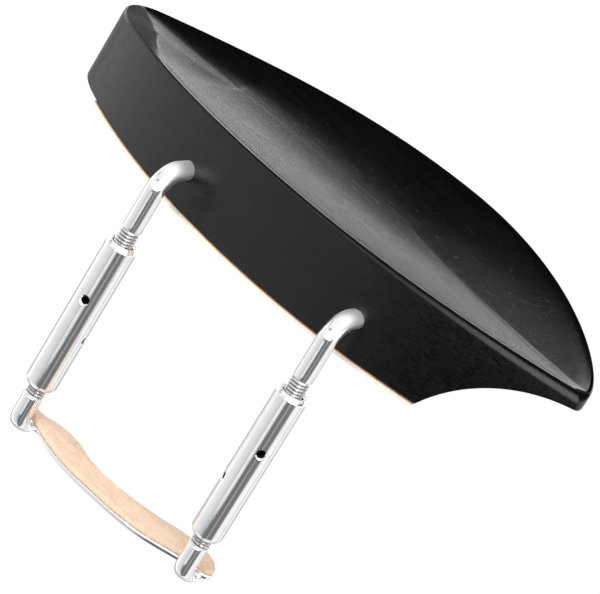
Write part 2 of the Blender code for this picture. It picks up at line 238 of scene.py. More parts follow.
@dataclass(frozen=True)
class EbonyFinish:
    """Black hardwood, oiled and rubbed, with a fine straight grain along X."""

    name: str = "ebony"
    dark: tuple[float, float, float] = (0.0010, 0.0010, 0.0011)
    light: tuple[float, float, float] = (0.0042, 0.0038, 0.0036)
    grain_length: float = 7 * MM
    grain_width: float = 0.42 * MM
    pore_length: float = 1.8 * MM
    pore_width: float = 0.14 * MM
    roughness: float = 0.28
    relief: float = 0.05 * MM

    def build(self) -> Material:
        """Makes the material, which is polished where the mesh's attribute says so."""
        material, shader = principled(self.name, {"Specular IOR Level": 0.46, "Metallic": 0.0})
        graph = shader.graph
        fine = (1 / self.grain_length, 1 / self.grain_width, 1 / self.grain_width)
        broad = (fine[0] / 4, fine[1] / 6, fine[2] / 6)
        pore = (1 / self.pore_length, 1 / self.pore_width, 1 / self.pore_width)
        streaks = graph.noise(graph.coords(fine), 1.0, 3.0, 0.6)
        bands = graph.noise(graph.coords(broad), 1.0, 2.0, 0.5)
        pores = graph.noise(graph.coords(pore), 1.0, 1.0, 0.4).step(0.64, 0.74)
        rubbed = graph.noise(graph.coords((1 / MM,) * 3), 0.35, 4.0, 0.62)
        tone = (streaks * 0.62 + bands * 0.38).step(0.34, 0.66)
        colour = graph.mix(tone * (1.0 - 0.6 * pores), self.dark, self.light)
        polish = graph.attribute(WEAR)
        dull = self.roughness + 0.2 * (streaks - 0.5) + 0.16 * (rubbed - 0.5) + 0.08 * pores
        rough = dull * (1.0 - 0.78 * polish)
        height = streaks * 1.0 + bands * 0.3 + rubbed * 0.45 - 0.12 * pores
        normal = graph.bump(height * (1.0 - 0.7 * polish), 0.75, self.relief)
        shader.feed({"Base Color": colour, "Roughness": rough, "Normal": normal})
        return material


@dataclass(frozen=True)
class CorkFinish:
    """Thin sheet cork of a fine grade: pale granules, a few darker flecks and pits."""

    name: str = "cork"
    pale: tuple[float, float, float] = (0.98, 0.78, 0.62)
    warm: tuple[float, float, float] = (0.92, 0.64, 0.44)
    fleck: tuple[float, float, float] = (0.60, 0.37, 0.22)
    glue: tuple[float, float, float] = (0.36, 0.20, 0.11)
    glue_line: float = -47.0 * MM
    granule: float = 0.75 * MM
    relief: float = 0.05 * MM

    def build(self) -> Material:
        """Makes the material, which is stained by glue just under its glue line."""
        material, shader = principled(self.name, {"Specular IOR Level": 0.25, "Metallic": 0.0})
        graph = shader.graph
        place = graph.coords((1 / self.granule,) * 3)
        cell = {"Vector": place, "Scale": 1.0, "Randomness": 1.0}
        tint = graph.node("ShaderNodeTexVoronoi", {"feature": "F1"}, cell, output="Color")
        tone = graph.node("ShaderNodeSeparateColor", inputs={"Color": tint})
        seam = graph.node("ShaderNodeTexVoronoi", {"feature": "DISTANCE_TO_EDGE"}, cell)
        edge = 1.0 - seam.step(0.0, 0.12)
        mottle = graph.noise(place, 0.28, 4.0, 0.6)
        specks = graph.noise(place, 1.7, 3.0, 0.7).step(0.68, 0.75)
        warmth = (0.45 * tone + 0.9 * (mottle - 0.3)).step(0.0, 0.95)
        body = graph.mix(warmth, self.pale, self.warm)
        spotted = graph.mix(0.7 * specks + 0.14 * edge, body, self.fleck)
        spot = graph.node("ShaderNodeTexCoord", output="Object")
        height = graph.node("ShaderNodeSeparateXYZ", inputs={0: spot}, output=2)
        stain = height.step(self.glue_line - 0.38 * MM, self.glue_line)
        colour = graph.mix(stain * (0.5 + 0.6 * mottle), spotted, self.glue)
        rough = 0.82 + 0.12 * mottle
        relief = 0.5 * tone - 0.5 * edge - 0.9 * specks + 0.4 * mottle
        normal = graph.bump(relief, 0.4, self.relief)
        shader.feed({"Base Color": colour, "Roughness": rough, "Normal": normal})
        return material


class Grain(Enum):
    """How a chromed piece was worked before plating, as the size of its marks along X, Y and Z."""

    TURNED = (2.5 * MM, 2.5 * MM, 0.05 * MM)
    DRAWN = (0.12 * MM, 0.12 * MM, 9.0 * MM)
    STAMPED = (0.9 * MM, 0.9 * MM, 0.9 * MM)


@dataclass(frozen=True)
class ChromeFinish:
    """Bright plated metal with faint working marks and a little handling haze."""

    name: str = "chrome"
    grain: Grain = Grain.STAMPED
    colour: tuple[float, float, float] = (0.93, 0.935, 0.945)
    haze: tuple[float, float, float] = (0.82, 0.825, 0.84)
    groove_dark: tuple[float, float, float] = (0.16, 0.155, 0.15)
    roughness: float = 0.085

    def build(self) -> Material:
        """Makes the material, darker and rougher where the mesh's attribute says so."""
        material, shader = principled(self.name, {"Metallic": 0.88})
        graph = shader.graph
        fine = tuple(1 / size for size in self.grain.value)
        marks = graph.noise(graph.coords(fine), 1.0, 2.0, 0.5)
        handled = graph.noise(graph.coords((1 / MM,) * 3), 0.22, 3.0, 0.55)
        smudge = handled.step(0.5, 0.72)
        # The attribute marks the thread's grooves, which turn darker and rougher, most at their
        # bottoms.
        darkening = graph.attribute(WEAR)
        clean = graph.mix(0.5 * smudge, self.colour, self.haze)
        colour = graph.mix(0.85 * darkening, clean, self.groove_dark)
        satin = graph.attribute(SATIN)
        rough = self.roughness + 0.05 * marks + 0.07 * smudge + 0.25 * darkening + 0.42 * satin
        normal = graph.bump(marks, 0.05, 0.01 * MM)
        shader.feed({"Base Color": colour, "Roughness": rough, "Normal": normal})
        return material


@dataclass(frozen=True)
class BoreFinish:
    """Unplated steel inside the holes and threads, painted near black as painted shade of the
    hollows.
    """

    name: str = "bore"
    # Painted shade: both greys stand in for the dark inside the holes and bores.
    clean: tuple[float, float, float] = (0.05, 0.05, 0.052)
    deep_shade: tuple[float, float, float] = (0.015, 0.014, 0.013)

    def build(self) -> Material:
        """Makes the material."""
        material, shader = principled(self.name, {"Metallic": 0.6})
        graph = shader.graph
        # A noise mottles the painted shade between the two greys, and the roughness with it.
        darkening = graph.noise(graph.coords((1 / MM,) * 3), 1.3, 3.0, 0.6)
        colour = graph.mix(darkening, self.clean, self.deep_shade)
        shader.feed({"Base Color": colour, "Roughness": 0.5 + 0.2 * darkening})
        return material


# ---------------------------------------------------------------- mesh tools


class Form:
    """A mesh that grows ring by ring from a circle."""

    def __init__(self) -> None:
        """Starts with an empty mesh, whose vertices can say how worn, darkened and satin they are.
        """
        self.bm: BMesh = bmesh.new()
        self.wear = self.bm.verts.layers.float.new(WEAR)
        self.satin = self.bm.verts.layers.float.new(SATIN)

    def circle(self, radius: float, count: int) -> list[BMVert]:
        """A ring of vertices round the origin.

        Args:
            radius: The ring's radius.
            count: How many vertices it has.

        Returns:
            The vertices, in order from +X.
        """
        made = bmesh.ops.create_circle(self.bm, cap_ends=False, radius=radius, segments=count)
        return sorted(made["verts"], key=lambda v: math.atan2(v.co.y, v.co.x) % math.tau)

    def start(self, places: Sequence[Vector]) -> list[BMVert]:
        """Makes the first ring.

        Args:
            places: Its vertices' places, in order.

        Returns:
            The ring.
        """
        ring = self.circle(1.0, len(places))
        for vert, place in zip(ring, places):
            vert.co = place
        return ring

    def grow(self, ring: list[BMVert]) -> list[BMVert]:
        """Extrudes a ring in place.

        Args:
            ring: The vertices of a closed ring, in order.

        Returns:
            The new ring, in the same order.
        """
        edges = [self.bm.edges.get((a, b)) for a, b in zip(ring, ring[1:] + ring[:1])]
        made = bmesh.ops.extrude_edge_only(self.bm, edges=edges)["geom"]
        new = {item for item in made if isinstance(item, BMVert)}
        return [next(e.other_vert(v) for e in v.link_edges if e.other_vert(v) in new) for v in ring]

    def grow_to(self, ring: list[BMVert], places: Iterable[Vector]) -> list[BMVert]:
        """Extrudes a ring and puts its new vertices in these places.

        Args:
            ring: The vertices of a closed ring, in order.
            places: One place for each of them.

        Returns:
            The new ring.
        """
        new = self.grow(ring)
        for vert, place in zip(new, places):
            vert.co = place
        return new

    def shift(self, ring: list[BMVert], by: Vector) -> list[BMVert]:
        """Extrudes a ring by a vector, and returns the new ring."""
        new = self.grow(ring)
        bmesh.ops.translate(self.bm, verts=new, vec=by)
        return new

    def rub(self, ring: list[BMVert], shares: Iterable[float]) -> None:
        """Marks each vertex of a ring as rubbed to its share of a full polish."""
        for vert, share in zip(ring, shares):
            vert[self.wear] = share

    def close(self, ring: list[BMVert]) -> None:
        """Fills a ring with one flat face."""
        edges = [self.bm.edges.get((a, b)) for a, b in zip(ring, ring[1:] + ring[:1])]
        bmesh.ops.edgeloop_fill(self.bm, edges=edges)

    def object(self, name: str, *materials: Material) -> Object:
        """Turns the mesh into an object with welded, outward faces.

        Args:
            name: The object's name.
            materials: Its material slots.

        Returns:
            The object, linked to the scene.
        """
        bmesh.ops.remove_doubles(self.bm, verts=self.bm.verts, dist=0.0005 * MM)
        bmesh.ops.recalc_face_normals(self.bm, faces=self.bm.faces)
        data = bpy.data.meshes.new(name)
        self.bm.to_mesh(data)
        self.bm.free()
        made = bpy.data.objects.new(name, data)
        bpy.context.scene.collection.objects.link(made)
        for material in materials:
            data.materials.append(material)
        return made


def up(height: float) -> Vector:
    """A vector straight up."""
    return Vector((0.0, 0.0, height))


def prism(
    name: str, outline: Iterable[Vector], low: float, rise: float, finish: Material
) -> Object:
    """A flat-ended body with upright sides.

    Args:
        name: The object's name.
        outline: Its outline in plan.
        low: The height of its lower end.
        rise: How high it is.
        finish: Its material.

    Returns:
        The object.
    """
    form = Form()
    ring = form.start([Vector((p.x, p.y, low)) for p in outline])
    form.close(ring)
    form.close(form.shift(ring, up(rise)))
    return form.object(name, finish)


def peg(
    name: str,
    radius: float,
    sides: int,
    start: float,
    runs: Sequence[float],
    at: Matrix,
    finish: Material,
    growth: float = 1.0,
) -> Object:
    """A round cutter.

    Args:
        name: The object's name.
        radius: Its radius at the start.
        sides: How many faces it has round it.
        start: Where it starts along its own Z axis.
        runs: The lengths of the steps that it goes on by.
        at: What moves it into place.
        finish: Its material, which the cut gets.
        growth: How many times wider it ends.

    Returns:
        The object.
    """
    form = Form()
    ring = form.circle(radius, sides)
    bmesh.ops.translate(form.bm, verts=ring, vec=(0, 0, start))
    form.close(ring)
    for run in runs:
        ring = form.shift(ring, up(run))
    bmesh.ops.scale(form.bm, vec=(growth, growth, 1.0), verts=ring)
    form.close(ring)
    bmesh.ops.transform(form.bm, matrix=at, verts=form.bm.verts)
    return form.object(name, finish)


def carve(target: Object, cutters: Iterable[Object], operation: str = "DIFFERENCE") -> None:
    """Cuts an object with others, applies the result and removes the cutters.

    Args:
        target: The object that is cut.
        cutters: The objects that cut it.
        operation: DIFFERENCE or INTERSECT.
    """
    for cutter in cutters:
        modifier = target.modifiers.new(cutter.name, "BOOLEAN")
        modifier.operation = operation
        modifier.object = cutter
        modifier.solver = "EXACT"
        modifier.material_mode = "TRANSFER"
    bake_modifiers(target)
    for cutter in cutters:
        bpy.data.objects.remove(cutter, do_unlink=True)


def bake_modifiers(target: Object) -> None:
    """Replaces an object's mesh with what its modifiers make."""
    bpy.context.view_layer.update()
    graph = bpy.context.evaluated_depsgraph_get()
    baked = bpy.data.meshes.new_from_object(target.evaluated_get(graph))
    target.modifiers.clear()
    target.data = baked


def smooth_step(value: float, low: float, high: float) -> float:
    """A smooth step from 0 at low to 1 at high."""
    share = min(max((value - low) / (high - low), 0.0), 1.0)
    return share * share * (3.0 - 2.0 * share)


def smooth(target: Object, degrees: float) -> None:
    """Shades an object smooth, apart from edges sharper than this angle."""
    target.data.shade_smooth()
    target.data.set_sharp_from_angle(angle=math.radians(degrees))


def install(piece: Object, body: str, slot: str, *nodes: str) -> Object:
    """Hands a finished piece to the frame.

    Args:
        piece: The piece.
        body: The CAD body that it moves with.
        slot: Not used.
        nodes: The CAD nodes that it stands for.

    Returns:
        The piece.
    """
    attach(piece, body)
    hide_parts(*nodes)
    count = sum(len(face.vertices) - 2 for face in piece.data.polygons)
    log.info("%s on %s: %d triangles", piece.name, body, count)
    return piece


# ---------------------------------------------------------------- the carved plate


@dataclass
class Plan:
    """The plate's outline: one arc for the wall, and a rim through a few anchors behind it."""

    wall_radius: float = 110.4 * MM
    bulge_x: float = 4.1 * MM
    bulge_y: float = -7.8 * MM
    left_x: float = -56.5 * MM
    right_x: float = 62.2 * MM
    depth: float = 60.6 * MM
    rim_top_x: float = 6.0 * MM

    def __post_init__(self) -> None:
        """Works out the points that depend on the sizes."""
        self.bulge = Vector((self.bulge_x, self.bulge_y))
        self.centre = self.bulge + Vector((0.0, self.wall_radius))
        self.spine_a = Vector((self.left_x + 20.5 * MM, self.bulge.y + 32.8 * MM))
        self.spine_b = Vector((self.rim_top_x + 2.0 * MM, self.bulge.y + 34.8 * MM))

    def wall(self, x: float) -> Vector:
        """The wall's point at this distance along it."""
        reach = x - self.centre.x
        return Vector((x, self.centre.y - math.sqrt(self.wall_radius**2 - reach**2)))

    def tangent(self, x: float) -> Vector:
        """The wall's direction there."""
        reach = x - self.centre.x
        return Vector((1.0, reach / math.sqrt(self.wall_radius**2 - reach**2))).normalized()

    def behind(self, point: Vector) -> float:
        """How far behind the wall's arc a point lies."""
        return self.wall_radius - (point - self.centre).length

    def outline(self) -> list[Vector]:
        """The outline, anticlockwise from the wall's left end, as about 430 points."""
        start = self.wall(self.left_x)
        end = self.wall(self.right_x)
        tip = end + Vector((-0.3 * MM, 5.05 * MM))
        tip_lean = Vector((-0.36, 0.93))
        rim_top = Vector((self.rim_top_x, self.bulge.y + self.depth))
        left = start + Vector((-3.5 * MM, 16.7 * MM))
        left_lean = Vector((0.83, 0.56))
        start_lean = self.tangent(self.left_x)
        steps = 150
        width = self.right_x - self.left_x
        points = [self.wall(self.left_x + width * i / steps) for i in range(steps)]
        turn = 1.6 * MM
        spans = (
            (end, end + turn * self.tangent(self.right_x), tip - turn * tip_lean, tip, 16),
            (tip, tip + 12 * MM * tip_lean, rim_top + Vector((28 * MM, 0)), rim_top, 96),
            (rim_top, rim_top - Vector((26 * MM, 0)), left + 26 * MM * left_lean, left, 96),
            (left, left - 9 * MM * left_lean, start - 7.2 * MM * start_lean, start, 72),
        )
        for a, b, c, d, count in spans:
            points += [p.to_2d() for p in interpolate_bezier(a, b, c, d, count + 1)[:-1]]
        return points

    def spine(self, point: Vector) -> Vector:
        """The nearest point of the line along which the dish is deepest."""
        along = self.spine_b - self.spine_a
        share = (point - self.spine_a).dot(along) / along.length_squared
        return self.spine_a + along * min(max(share, 0.0), 1.0)


@dataclass
class RestPlate:
    """The carved plate: foot, wall, rounded lip, dish, hollowed underside and scooped tip."""

    plan: Plan
    finish: Material
    base: float = 1.0 * MM
    rim_height: float = 19.1 * MM
    dish_depth: float = 4.5 * MM
    dish_power: float = 1.9
    rim_thickness: float = 3.5 * MM
    floor_thickness: float = 4.5 * MM
    foot_width: float = 15.5 * MM
    cork_short: float = 2.5 * MM
    crest_width: float = 0.85 * MM
    seam: float = 0.02 * MM
    roll: tuple[float, float] = (0.45 * MM, 0.5 * MM)
    tip_start: float = 12 * MM
    tip_length: float = 50 * MM
    bevel_start: float = -42 * MM
    bevel_length: float = 16 * MM
    bevel_width: float = 4.9 * MM
    bevel_slope: float = 0.2
    crown_x: float = 14 * MM
    left_fall: tuple[float, float] = (3.4 * MM, 76 * MM)
    right_fall: tuple[float, float] = (1.1 * MM, 50 * MM)
    chamfer: float = 0.2 * MM
    lip_steps: int = 9
    carving_passes: int = 200
    dish_polish: float = 0.35

    def rim(self, x: float) -> float:
        """The rim's height: a shallow crown that falls to both ends."""
        fall, length = self.left_fall if x < self.crown_x else self.right_fall
        return self.base + self.rim_height - fall * ((x - self.crown_x) / length) ** 2

    def lip(self, point: Vector) -> tuple[float, float, float]:
        """The lip's shape at a point of the outline.

        Args:
            point: The point.

        Returns:
            How far its roll reaches inwards, how far down the wall, and how wide the bevel is
            that follows it at the plate's left end.
        """
        behind = self.plan.behind(point)
        front = 1.0 - smooth_step(behind, 0.3 * MM, 3.2 * MM)
        tip = max((point.x - self.tip_start) / self.tip_length, 0.0) ** 1.2
        wide = self.roll[0] + front * 1.8 * MM * tip
        tall = self.roll[1] + front * (0.35 * MM + 1.1 * MM * tip)
        left = min(max((self.bevel_start - point.x) / self.bevel_length, 0.0), 1.0) ** 1.7
        bevel = self.bevel_width * left * (1.0 - smooth_step(behind, 1 * MM, 7 * MM))
        return wide, tall, bevel

    def crest(self, point: Vector) -> tuple[float, float]:
        """The flat crest between the roll and the dish.

        Args:
            point: The outline's point.

        Returns:
            The crest's width, and how far it falls before the dish's own slope starts.
        """
        reach = (self.plan.spine(point) - point).length
        return self.crest_width, self.crest_width * self.dish_power * self.dish_depth / reach / 2

    def place(self, point: Vector, inset: float, share: float, edge: float, floor: float) -> Vector:
        """A point of the dish or of the underside.

        Args:
            point: The outline's point that it belongs to.
            inset: How far in from the outline the slope starts.
            share: How far it is from there (0) to the spine (1).
            edge: The height at which the slope starts.
            floor: The height at the spine.

        Returns:
            The point in space.
        """
        target = self.plan.spine(point)
        start = point + (target - point).normalized() * inset
        at = start + (target - start) * share
        height = floor + (edge - floor) * (1.0 - min(share, 1.0)) ** self.dish_power
        return Vector((at.x, at.y, height))

    def _body(self, outline: list[Vector]) -> Object:
        """The plate with its full height below the dish."""
        form = Form()
        low = self.base + self.chamfer
        inward = [(self.plan.spine(p) - p).normalized() for p in outline]
        places = [
            (p + way * self.chamfer).to_3d() + up(self.base) for p, way in zip(outline, inward)
        ]
        ring = form.start(places)
        form.close(ring)
        ring = form.grow_to(ring, [Vector((p.x, p.y, low)) for p in outline])
        lips = [self.lip(p) for p in outline]
        crests = [self.crest(p) for p in outline]
        rims = [self.rim(p.x) for p in outline]
        walls = [rim - tall - self.base - self.chamfer for rim, (_, tall, _) in zip(rims, lips)]
        for share in (1 / 3, 2 / 3, 1.0):
            places = [Vector((p.x, p.y, low + wall * share)) for p, wall in zip(outline, walls)]
            ring = form.grow_to(ring, places)

        def row(
            ring: list[BMVert], insets: Iterable[float], heights: Iterable[float]
        ) -> list[BMVert]:
            """Grows a ring to these distances from the outline and these heights."""
            spots = [p + way * inset for p, way, inset in zip(outline, inward, insets)]
            return form.grow_to(ring, [Vector((at.x, at.y, z)) for at, z in zip(spots, heights)])

        for i in range(1, self.lip_steps + 1):
            angle = math.pi / 2 * i / self.lip_steps
            insets = [wide * (1 - math.cos(angle)) for wide, _, _ in lips]
            drops = [tall * (1 - math.sin(angle)) for _, tall, _ in lips]
            ring = row(ring, insets, [rim - drop for rim, drop in zip(rims, drops)])
        rubbed = [max(1.0 - bevel / (0.6 * MM), -1.3) for _, _, bevel in lips]
        form.rub(ring, rubbed)
        rises = [
            bevel * self.bevel_slope * max(way.y, 0.0) for way, (_, _, bevel) in zip(inward, lips)
        ]
        for share in (0.25, 0.5, 0.75, 1.0):
            insets = [wide + (bevel + self.seam) * share for wide, _, bevel in lips]
            ring = row(ring, insets, [rim + rise * share for rim, rise in zip(rims, rises)])
            form.rub(ring, rubbed)
        floor = self.base + self.rim_height - self.dish_depth
        starts = [wide + bevel + self.seam for wide, _, bevel in lips]
        tops = [rim + rise for rim, rise in zip(rims, rises)]
        for share in (0.3, 0.65, 1.0):
            insets = [start + flat * share for start, (flat, _) in zip(starts, crests)]
            heights = [top - fall * share**2 for top, (_, fall) in zip(tops, crests)]
            ring = row(ring, insets, heights)
            form.rub(ring, rubbed)
        shares = [0.02, 0.045, 0.08] + [0.08 + 0.9 * (i / 24) for i in range(1, 25)]
        edges = [top - fall for top, (_, fall) in zip(tops, crests)]
        rim_ring, crest_heights = ring, [vert.co.z for vert in ring]
        rings = []
        for share in shares:
            places = [
                self.place(p, start + flat, share, edge, floor)
                for p, start, edge, (flat, _) in zip(outline, starts, edges, crests)
            ]
            ring = form.grow_to(ring, places)
            form.rub(ring, [self.dish_polish] * len(ring))
            rings.append((share, ring))
        for share, verts in [(0.0, rim_ring), *rings]:
            for vert in verts:
                vert.co.z = share
        inner = [vert for _, verts in rings for vert in verts]
        for _ in range(self.carving_passes):
            bmesh.ops.smooth_vert(form.bm, verts=inner, factor=0.5, use_axis_z=True)
        for vert, height in zip(rim_ring, crest_heights):
            vert.co.z = height
        for _, verts in rings:
            for vert, edge in zip(verts, edges):
                vert.co.z = floor + (edge - floor) * (1.0 - vert.co.z) ** self.dish_power
        form.close(ring)
        return form.object("carved_plate", self.finish)

    def _hollow(self, outline: list[Vector]) -> Object:
        """The space under the plate, behind the foot."""
        form = Form()
        ceiling = self.base + self.rim_height - self.dish_depth - self.floor_thickness
        below = -3 * MM
        margin = -4 * MM
        places = [self.place(p, margin, 0.0, 0.0, ceiling) for p in outline]
        ring = form.start([Vector((at.x, at.y, below)) for at in places])
        form.close(ring)
        edges = [self.rim(p.x) - self.rim_thickness for p in outline]
        places = [self.place(p, margin, 0.0, edge, ceiling) for p, edge in zip(outline, edges)]
        ring = form.grow_to(ring, places)
        for share in [0.03 + 0.93 * i / 16 for i in range(17)]:
            places = [self.place(p, 0.0, share, edge, ceiling) for p, edge in zip(outline, edges)]
            ring = form.grow_to(ring, places)
        for vert in ring:
            vert.co.z = ceiling
        form.close(ring)
        return form.object("hollow_space", self.finish)

    def band(self, from_x: float | None = None) -> Object:
        """Everything within the foot's width of the wall.

        Args:
            from_x: Where along the wall it starts, if it doesn't cover all of it.

        Returns:
            The band as a cutter.
        """
        steps = 180
        reach = math.radians(60)
        start = -reach
        if from_x is not None:
            start = math.asin((from_x - self.plan.centre.x) / self.plan.wall_radius)
        inner = self.plan.wall_radius - self.foot_width
        outer = self.plan.wall_radius + 20 * MM
        angles = [start + (reach - start) * i / steps for i in range(steps + 1)]
        plan = [(outer, a) for a in angles] + [(inner, a) for a in reversed(angles)]
        centre = self.plan.centre
        line = [centre + radius * Vector((math.sin(a), -math.cos(a))) for radius, a in plan]
        return prism("foot_band", line, -20 * MM, 60 * MM, self.finish)

    def scoop(self) -> Object:
        """The cylinder that scoops out the tip's underside."""
        radius = 29.4 * MM
        length = 160 * MM
        lean = math.radians(24)
        place = self.plan.wall(self.plan.right_x) + Vector((0.8 * MM, 0.6 * MM))
        turn = Vector((-math.sin(lean), math.cos(lean), 0)).to_track_quat("Z", "Y").to_matrix()
        middle = Matrix.Translation((place.x, place.y, self.base - 14.4 * MM))
        at = middle @ turn.to_4x4()
        return peg("tip_scoop", radius, 360, -length / 2, (length,), at, self.finish)

    def _socket(self, x: float, height: float, depth: float) -> Object:
        """The hole that a hook's leg slides in, as a cutter that starts in front of the wall."""
        lay = Matrix.Rotation(math.radians(90), 4, "X")
        at = Matrix.Translation((x, self.plan.wall(x).y + depth, height)) @ lay
        name = f"socket_{'left' if x < 0 else 'right'}"
        return peg(name, 2.12 * MM, 48, 0.0, (depth, 3 * MM), at, self.finish)

    def build(self, rods: Iterable[float], hook_height: float) -> None:
        """Makes the plate.

        Args:
            rods: Where the hooks stand along X.
            hook_height: How high their legs are.
        """
        outline = self.plan.outline()
        plate = self._body(outline)
        hollow = self._hollow(outline)
        carve(hollow, [self.band()])
        sockets = [self._socket(x, hook_height, 12 * MM) for x in rods]
        carve(plate, [hollow, self.scoop(), *sockets])
        smooth(plate, 32)
        install(plate, "rest", "ebony", "rest_plate")


@dataclass
class FootCork:
    """The cork sheet glued under the foot."""

    plate: RestPlate
    finish: Material
    thickness: float = 0.8 * MM

    def build(self) -> None:
        """Makes the sheet from the foot's own outline."""
        outline = self.plate.plan.outline()
        sheet = prism("foot_cork_sheet", outline, 0.0, self.thickness, self.finish)
        start = self.plate.plan.left_x + self.plate.cork_short
        carve(sheet, [self.plate.band(start)], "INTERSECT")
        carve(sheet, [self.plate.scoop()])
        smooth(sheet, 32)
        install(sheet, "rest", "cork", "foot_cork")


# ---------------------------------------------------------------- the screw clamp


@dataclass
class Thread:
    """A rolled thread on a rod."""

    pitch: float = 0.7 * MM
    depth: float = 0.36 * MM
    hand: int = 1

    def cut(self, form: Form, axis: Vector, low: float, high: float, radius: float) -> None:
        """Presses the thread into a rod's surface, and marks its grooves, most at their bottoms,
        for a darker finish.

        Args:
            form: The rod's mesh, with rings close together along the thread.
            axis: A point of the rod's axis.
            low: The thread's lower end.
            high: Its upper end.
            radius: The rod's radius.
        """
        fade = 0.6 * MM
        for vert in form.bm.verts:
            if not low < vert.co.z < high:
                continue
            out = Vector((vert.co.x - axis.x, vert.co.y - axis.y))
            if out.length < radius * 0.6:
                continue
            turn = math.atan2(out.y, out.x) / math.tau
            phase = (vert.co.z / self.pitch - self.hand * turn) % 1.0
            groove = min(1.0, max(0.0, 1.35 * (1.0 - abs(2.0 * phase - 1.0)) - 0.12))
            ends = min(1.0, (high - vert.co.z) / fade, (vert.co.z - low) / fade)
            scale = 1.0 - groove * ends * self.depth / radius
            # The mark makes the chrome darker and rougher here, most at the groove's bottom.
            vert[form.wear] = groove * ends
            vert.co.x = axis.x + out.x * scale
            vert.co.y = axis.y + out.y * scale


@dataclass
class ScrewClamp:
    """Two hooks, two barrels, two studs, and the plate with its cork, which pull together."""

    plan: Plan
    chrome: dict[Grain, Material]
    bore: Material
    cork: Material
    rod_radius: float = 2.0 * MM
    rod_x: float = 22.7 * MM
    rod_y: float = -11.86 * MM
    hook_height: float = 7.7 * MM
    hook_bend: float = 4.5 * MM
    leg_depth: float = 10.5 * MM
    barrel_radius: float = 3.25 * MM
    barrel_top: float = -8.5 * MM
    barrel_length: float = 34.0 * MM
    thread_in: float = 10.5 * MM
    stud_bend: float = 2.6 * MM
    stud_bend_z: float = -49.8 * MM
    plate_z: float = -51.4 * MM
    plate_t: float = 1.0 * MM
    plate_near: float = 3.1 * MM
    plate_width: float = 6.86 * MM
    cork_z: float = -50.2 * MM
    cork_t: float = 1.1 * MM
    sides: int = 48
    point: float = 0.82
    point_length: float = 0.4 * MM
    thread_step: float = 0.07 * MM
    tongue: tuple[float, float] = (2.2 * MM, 0.8 * MM)
    clearance: float = 0.12 * MM
    shoulder: float = 0.62 * MM

    def _straight(self, form: Form, ring: list[BMVert], by: Vector, step: float) -> list[BMVert]:
        """Extrudes a ring along a straight run in equal steps.

        Args:
            form: The mesh.
            ring: Its last ring.
            by: The whole run.
            step: The longest step.

        Returns:
            The new last ring.
        """
        count = max(1, math.ceil(by.length / step))
        for _ in range(count):
            ring = form.shift(ring, by / count)
        return ring

    def _hook(self, name: str, x: float, hand: int) -> Object:
        """A rod that stands in the wall, bends down and carries the upper thread."""
        form = Form()
        leg_end = self.plan.wall(x).y + self.leg_depth
        bend_y = self.rod_y + self.hook_bend
        ring = form.circle(self.rod_radius, self.sides)
        upright = Matrix.Rotation(math.radians(90), 4, "X")
        at = Matrix.Translation((x, leg_end, self.hook_height))
        bmesh.ops.transform(form.bm, matrix=at @ upright, verts=ring)
        form.close(ring)
        ring = self._straight(form, ring, Vector((0, bend_y - leg_end, 0)), 2 * MM)
        steps = 24
        centre = Vector((x, bend_y, self.hook_height - self.hook_bend))
        step_turn = Matrix.Rotation(math.radians(90) / steps, 3, "X")
        for _ in range(steps):
            ring = form.grow(ring)
            bmesh.ops.rotate(form.bm, cent=centre, matrix=step_turn, verts=ring)
        for vert in form.bm.verts:
            bent = (self.hook_height - vert.co.z) / self.hook_bend
            satin = 1.0 - smooth_step(bent, -0.2, 0.35)
            vert[form.satin] = satin if vert.co.y > self.rod_y else 0.0
        thread_top = self.barrel_top + 3.4 * MM
        end = self.barrel_top - self.thread_in
        axis = Vector((x, self.rod_y, 0))
        ring = self._straight(form, ring, up(thread_top - centre.z), 2 * MM)
        run = end + self.point_length - thread_top
        ring = self._straight(form, ring, up(run), self.thread_step)
        ring = form.shift(ring, up(-self.point_length))
        middle = Matrix.Translation((-x, -self.rod_y, 0))
        bmesh.ops.scale(form.bm, vec=(self.point, self.point, 1.0), space=middle, verts=ring)
        form.close(ring)
        Thread(hand=hand).cut(form, axis, end, thread_top, self.rod_radius)
        return self._rod(form, name, "hooks")

    def _stud(self, name: str, x: float, hand: int) -> Object:
        """A threaded rod that bends under the clamp plate and is flattened there."""
        form = Form()
        top = self.barrel_top - self.barrel_length + self.thread_in
        thread_end = self.barrel_top - self.barrel_length - 2.5 * MM
        ring = form.circle(self.rod_radius * self.point, self.sides)
        bmesh.ops.translate(form.bm, verts=ring, vec=(x, self.rod_y, top))
        form.close(ring)
        ring = form.shift(ring, up(-self.point_length))
        middle = Matrix.Translation((-x, -self.rod_y, 0))
        wider = 1 / self.point
        bmesh.ops.scale(form.bm, vec=(wider, wider, 1.0), space=middle, verts=ring)
        run = thread_end - top + self.point_length
        ring = self._straight(form, ring, up(run), self.thread_step)
        ring = self._straight(form, ring, up(self.stud_bend_z - thread_end), 1 * MM)
        steps = 18
        corner = Vector((x, self.rod_y + self.stud_bend, self.stud_bend_z))
        for i in range(1, steps + 1):
            share = i / steps
            angle = math.radians(90) * share
            out = Vector((0, -math.cos(angle), -math.sin(angle)))
            centre = corner + self.stud_bend * out
            halves = [self.rod_radius + (end - self.rod_radius) * share for end in self.tongue]
            ring = form.grow_to(ring, self._oval(centre, out, *halves))
        ring = form.shift(ring, Vector((0, 2.1 * MM, 0)))
        ring = form.shift(ring, Vector((0, 0.3 * MM, 0)))
        at = Vector((x, self.rod_y + self.stud_bend + 2.4 * MM, self.stud_bend_z - self.stud_bend))
        bmesh.ops.scale(form.bm, vec=(0.86, 1.0, 0.7), space=Matrix.Translation(-at), verts=ring)
        form.close(ring)
        axis = Vector((x, self.rod_y, 0))
        Thread(hand=hand).cut(form, axis, thread_end, top, self.rod_radius)
        return self._rod(form, name, "bracket")

